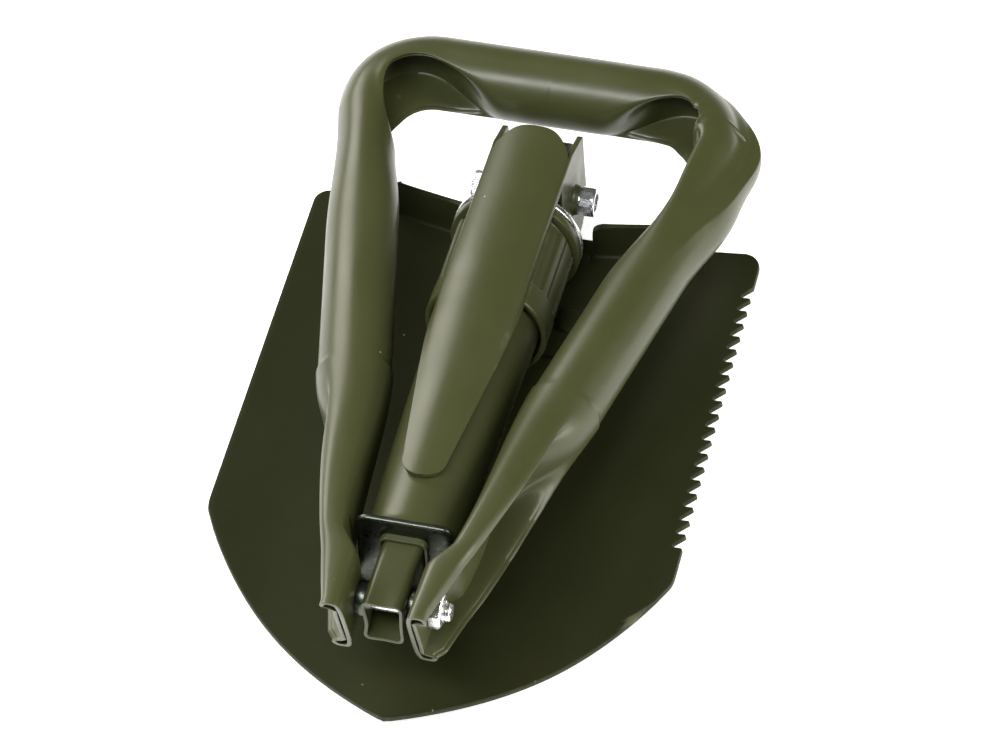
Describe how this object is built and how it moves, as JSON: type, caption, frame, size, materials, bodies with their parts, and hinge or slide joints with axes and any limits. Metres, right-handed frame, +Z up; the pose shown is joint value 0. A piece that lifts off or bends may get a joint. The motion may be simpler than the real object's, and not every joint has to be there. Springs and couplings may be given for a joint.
{
  "type": "folding camp shovel",
  "caption": "Folding camp shovel with a pointed saw-edged blade, locking collar and triangular D-handle, folded flat.",
  "frame": {"origin": "centre of the folded shovel's footprint, at the level it rests on", "axes": "+Y from the blade's tip to the handle bar, +X across the blade to its saw teeth, +Z up from the blade to the folded handle"},
  "size_m": [0.152, 0.2464, 0.06],
  "materials": {
    "blade_paint": "semi-gloss dark olive paint",
    "olive_paint": "semi-gloss olive paint",
    "zinc": "bright zinc plate"
  },
  "bodies": {
    "blade": {"blade_plate": "blade_paint", "hinge_bracket": "blade_paint", "bracket_rivets": "blade_paint"},
    "shaft": {"inner_tube": "olive_paint", "brace_channel": "olive_paint", "pivot_bolt": "zinc", "pivot_nut": "zinc", "pivot_washers": "zinc"},
    "sleeve": {"thread_ferrule": "olive_paint", "outer_tube": "olive_paint", "end_plate": "zinc"},
    "lock_ring": {"pressure_ring": "zinc"},
    "collar": {"lock_collar": "olive_paint"},
    "handle": {"handle_tube": "olive_paint", "handle_bolt": "zinc", "handle_nut": "zinc", "handle_washers": "zinc"}
  },
  "joints": [
    {"name": "blade_fold", "type": "hinge", "parent": "blade", "child": "shaft", "pos_m": [0, 0.07505, 0.024], "axis": [-1, 0, 0], "range_deg": [0, 174]},
    {"name": "sleeve_slide", "type": "slide", "parent": "shaft", "child": "sleeve", "axis": [0, -0.9949, 0.1011], "range_m": [0, 0.001]},
    {"name": "ring_slide", "type": "slide", "parent": "shaft", "child": "lock_ring", "axis": [0, 0.9949, -0.1011], "range_m": [0, 0.003]},
    {"name": "collar_turn", "type": "hinge", "parent": "lock_ring", "child": "collar", "pos_m": [0, 0.05, 0.02654], "axis": [0, 0.9949, -0.1011], "range_deg": [0, 360]},
    {"name": "handle_fold", "type": "hinge", "parent": "shaft", "child": "handle", "pos_m": [0, -0.10403, 0.04219], "axis": [1, 0, 0], "range_deg": [0, 177]}
  ],
  "couplings": [
    {"joint": "blade_fold", "follows": "handle_fold", "ratio": 0.983},
    {"joint": "sleeve_slide", "follows": "collar_turn", "m_per_rad": 0.000159},
    {"joint": "ring_slide", "follows": "collar_turn", "m_per_rad": 0.000477}
  ]
}
